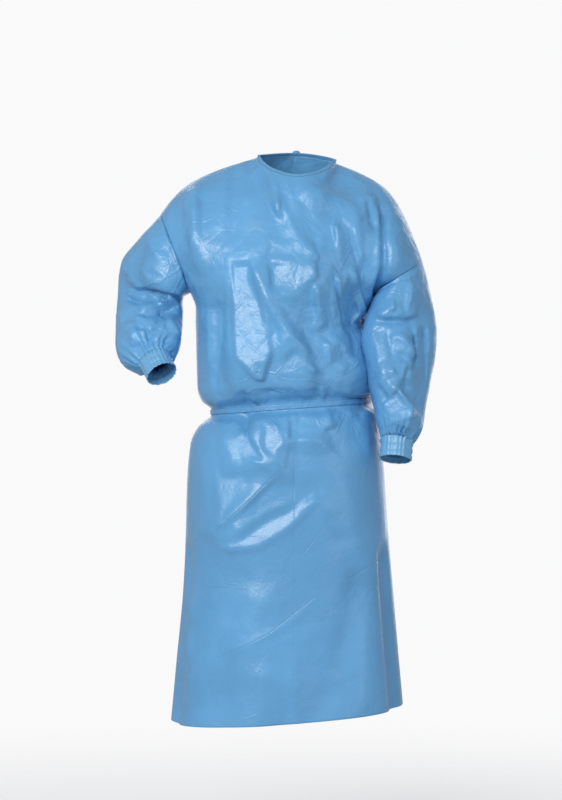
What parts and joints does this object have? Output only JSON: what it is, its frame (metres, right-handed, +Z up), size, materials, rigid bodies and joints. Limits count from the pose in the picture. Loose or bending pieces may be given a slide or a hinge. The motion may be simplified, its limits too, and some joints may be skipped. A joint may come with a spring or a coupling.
{
  "type": "isolation gown",
  "caption": "Hollow worn isolation gown held at the shoulders, long full sleeves, elastic cuffs, open neck and hem, lapped back with ties and a narrow belt.",
  "frame": {"origin": "middle of the neck opening, level with the wearer's shoulders, which hold the gown up", "axes": "+Z up, +X towards the wearer's left, +Y towards the wearer's back"},
  "size_m": [0.6444, 0.3669, 1.147],
  "materials": {
    "coated_cloth": "glossy coated nonwoven",
    "trim_cloth": "folded coated nonwoven",
    "elastic_cuff": "gathered over elastic, matte"
  },
  "bodies": {
    "root": {"front_panel": "coated_cloth", "back_panel_left": "coated_cloth", "back_panel_right": "coated_cloth", "sleeve_left": "coated_cloth", "sleeve_right": "coated_cloth", "cuff_left": "elastic_cuff", "cuff_right": "elastic_cuff", "neck_binding": "trim_cloth", "neck_knot": "trim_cloth", "neck_tie_left": "trim_cloth", "neck_tie_right": "trim_cloth", "belt": "trim_cloth", "belt_knot": "trim_cloth", "belt_end_left": "trim_cloth", "belt_end_right": "trim_cloth"}
  },
  "joints": []
}
